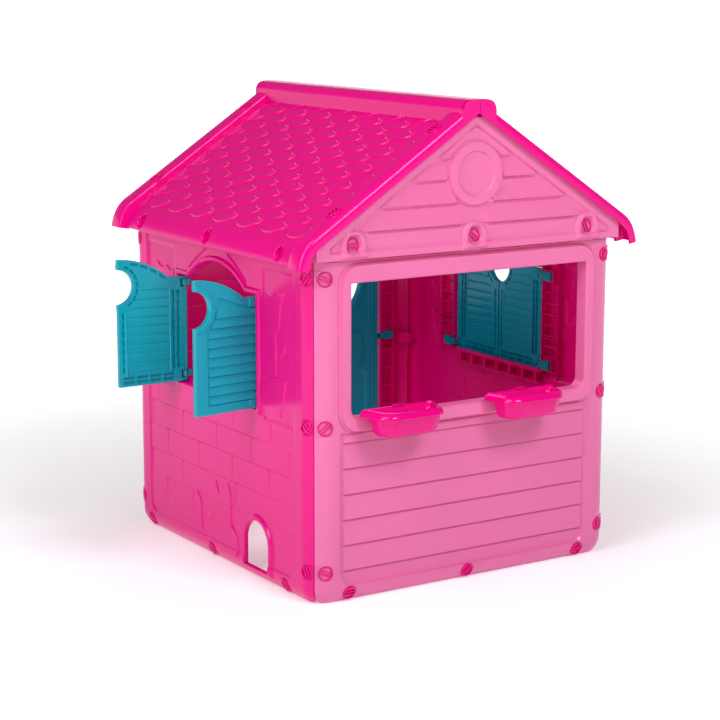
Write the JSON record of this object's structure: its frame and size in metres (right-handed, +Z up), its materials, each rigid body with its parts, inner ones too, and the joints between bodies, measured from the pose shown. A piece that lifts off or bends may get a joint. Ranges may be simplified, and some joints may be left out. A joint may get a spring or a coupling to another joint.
{
  "type": "playhouse",
  "caption": "Moulded plastic toddler playhouse with a gabled shingle roof, arched side windows with swinging shutters, a counter window with hook-on flower boxes and a rear door.",
  "frame": {"origin": "centre of the foot of the bounding box at rest, on the floor; the middle of the house's footprint is at x = 0.067, y = 0.037 because the open shutters and the flower boxes reach out on one side each", "axes": "+Z up, +Y from the counter side to the door side, +X to the right as seen from the counter side"},
  "size_m": [1.196, 1.144, 1.259],
  "materials": {
    "light_pink_plastic": "satin gloss moulded plastic, light pink",
    "hot_pink_plastic": "satin gloss moulded plastic, hot pink",
    "magenta_plastic": "gloss moulded plastic, magenta",
    "teal_plastic": "satin gloss moulded plastic, teal"
  },
  "bodies": {
    "house": {"back_gable": "light_pink_plastic", "back_wall": "hot_pink_plastic", "corner_back_left_high": "magenta_plastic", "corner_back_left_low": "magenta_plastic", "corner_back_left_middle": "magenta_plastic", "corner_back_right_high": "magenta_plastic", "corner_back_right_low": "magenta_plastic", "corner_back_right_middle": "magenta_plastic", "corner_front_left_high": "magenta_plastic", "corner_front_left_low": "magenta_plastic", "corner_front_left_middle": "magenta_plastic", "corner_front_right_high": "magenta_plastic", "corner_front_right_low": "magenta_plastic", "corner_front_right_middle": "magenta_plastic", "door_lower_clip": "teal_plastic", "door_middle_clip": "teal_plastic", "door_upper_clip": "teal_plastic", "eave_screw_left_front": "magenta_plastic", "eave_screw_left_middle": "magenta_plastic", "eave_screw_left_rear": "magenta_plastic", "eave_screw_right_front": "magenta_plastic", "eave_screw_right_middle": "magenta_plastic", "eave_screw_right_rear": "magenta_plastic", "front_gable": "light_pink_plastic", "front_wall": "light_pink_plastic", "gable_screw_back_left": "magenta_plastic", "gable_screw_back_middle": "magenta_plastic", "gable_screw_back_right": "magenta_plastic", "gable_screw_front_left": "magenta_plastic", "gable_screw_front_middle": "magenta_plastic", "gable_screw_front_right": "magenta_plastic", "left_wall": "hot_pink_plastic", "rake_screw_back_left_lower": "magenta_plastic", "rake_screw_back_left_upper": "magenta_plastic", "rake_screw_back_right_lower": "magenta_plastic", "rake_screw_back_right_upper": "magenta_plastic", "rake_screw_front_left_lower": "magenta_plastic", "rake_screw_front_left_upper": "magenta_plastic", "rake_screw_front_right_lower": "magenta_plastic", "rake_screw_front_right_upper": "magenta_plastic", "right_wall": "hot_pink_plastic", "roof_left": "hot_pink_plastic", "roof_right": "hot_pink_plastic", "shutter_left_front_lower_clip": "teal_plastic", "shutter_left_front_upper_clip": "teal_plastic", "shutter_left_rear_lower_clip": "teal_plastic", "shutter_left_rear_upper_clip": "teal_plastic", "shutter_right_front_lower_clip": "teal_plastic", "shutter_right_front_upper_clip": "teal_plastic", "shutter_right_rear_lower_clip": "teal_plastic", "shutter_right_rear_upper_clip": "teal_plastic"},
    "door": {"door": "teal_plastic"},
    "flower_box_left": {"flower_box_left": "magenta_plastic"},
    "flower_box_right": {"flower_box_right": "magenta_plastic"},
    "shutter_left_front": {"shutter_left_front": "teal_plastic"},
    "shutter_left_rear": {"shutter_left_rear": "teal_plastic"},
    "shutter_right_front": {"shutter_right_front": "teal_plastic"},
    "shutter_right_rear": {"shutter_right_rear": "teal_plastic"}
  },
  "joints": [
    {"name": "shutter_left_front_hinge", "type": "hinge", "parent": "house", "child": "shutter_left_front", "pos_m": [-0.396, -0.167, 0.611], "axis": [0, 0, 1], "range_deg": [-98, 2]},
    {"name": "shutter_left_rear_hinge", "type": "hinge", "parent": "house", "child": "shutter_left_rear", "pos_m": [-0.396, 0.241, 0.611], "axis": [0, 0, -1], "range_deg": [-90, 10]},
    {"name": "shutter_right_front_hinge", "type": "hinge", "parent": "house", "child": "shutter_right_front", "pos_m": [0.53, -0.167, 0.611], "axis": [0, 0, -1], "range_deg": [0, 100]},
    {"name": "shutter_right_rear_hinge", "type": "hinge", "parent": "house", "child": "shutter_right_rear", "pos_m": [0.53, 0.241, 0.611], "axis": [0, 0, 1], "range_deg": [0, 100]},
    {"name": "door_hinge", "type": "hinge", "parent": "house", "child": "door", "pos_m": [0.41, 0.522, 0.444], "axis": [0, 0, -1], "range_deg": [0, 95]},
    {"name": "flower_box_left_lift", "type": "slide", "parent": "house", "child": "flower_box_left", "axis": [0, 0, 1], "range_m": [0, 0.06]},
    {"name": "flower_box_right_lift", "type": "slide", "parent": "house", "child": "flower_box_right", "axis": [0, 0, 1], "range_m": [0, 0.06]}
  ]
}
